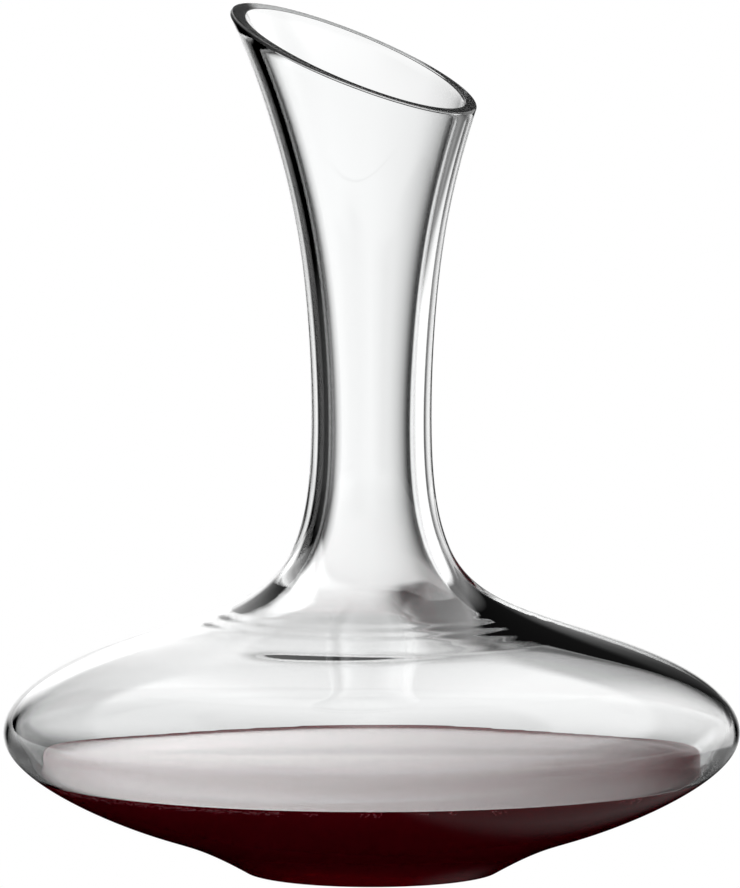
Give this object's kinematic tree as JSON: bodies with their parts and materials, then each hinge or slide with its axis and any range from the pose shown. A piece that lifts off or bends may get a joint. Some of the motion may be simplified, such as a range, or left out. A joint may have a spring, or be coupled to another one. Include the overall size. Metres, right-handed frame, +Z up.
{
  "type": "wine decanter",
  "caption": "Clear glass wine decanter with a wide low bowl, a small foot and a flared neck cut at a slant, part filled with red wine.",
  "frame": {"origin": "centre of the foot's standing ring, on the surface that the decanter stands on", "axes": "+Z up along the neck's axis; the mouth's high side points along -X and its low side along +X; the object is symmetric about the XZ plane"},
  "size_m": [0.2204, 0.2204, 0.2594],
  "materials": {
    "clear_glass": "clear blown glass, fire polished, with a cut and polished rim",
    "red_wine": "deep red liquid, clear where it is thin"
  },
  "bodies": {
    "root": {"foot": "clear_glass", "belly": "clear_glass", "shoulder": "clear_glass", "neck": "clear_glass", "wine": "red_wine"}
  },
  "joints": []
}
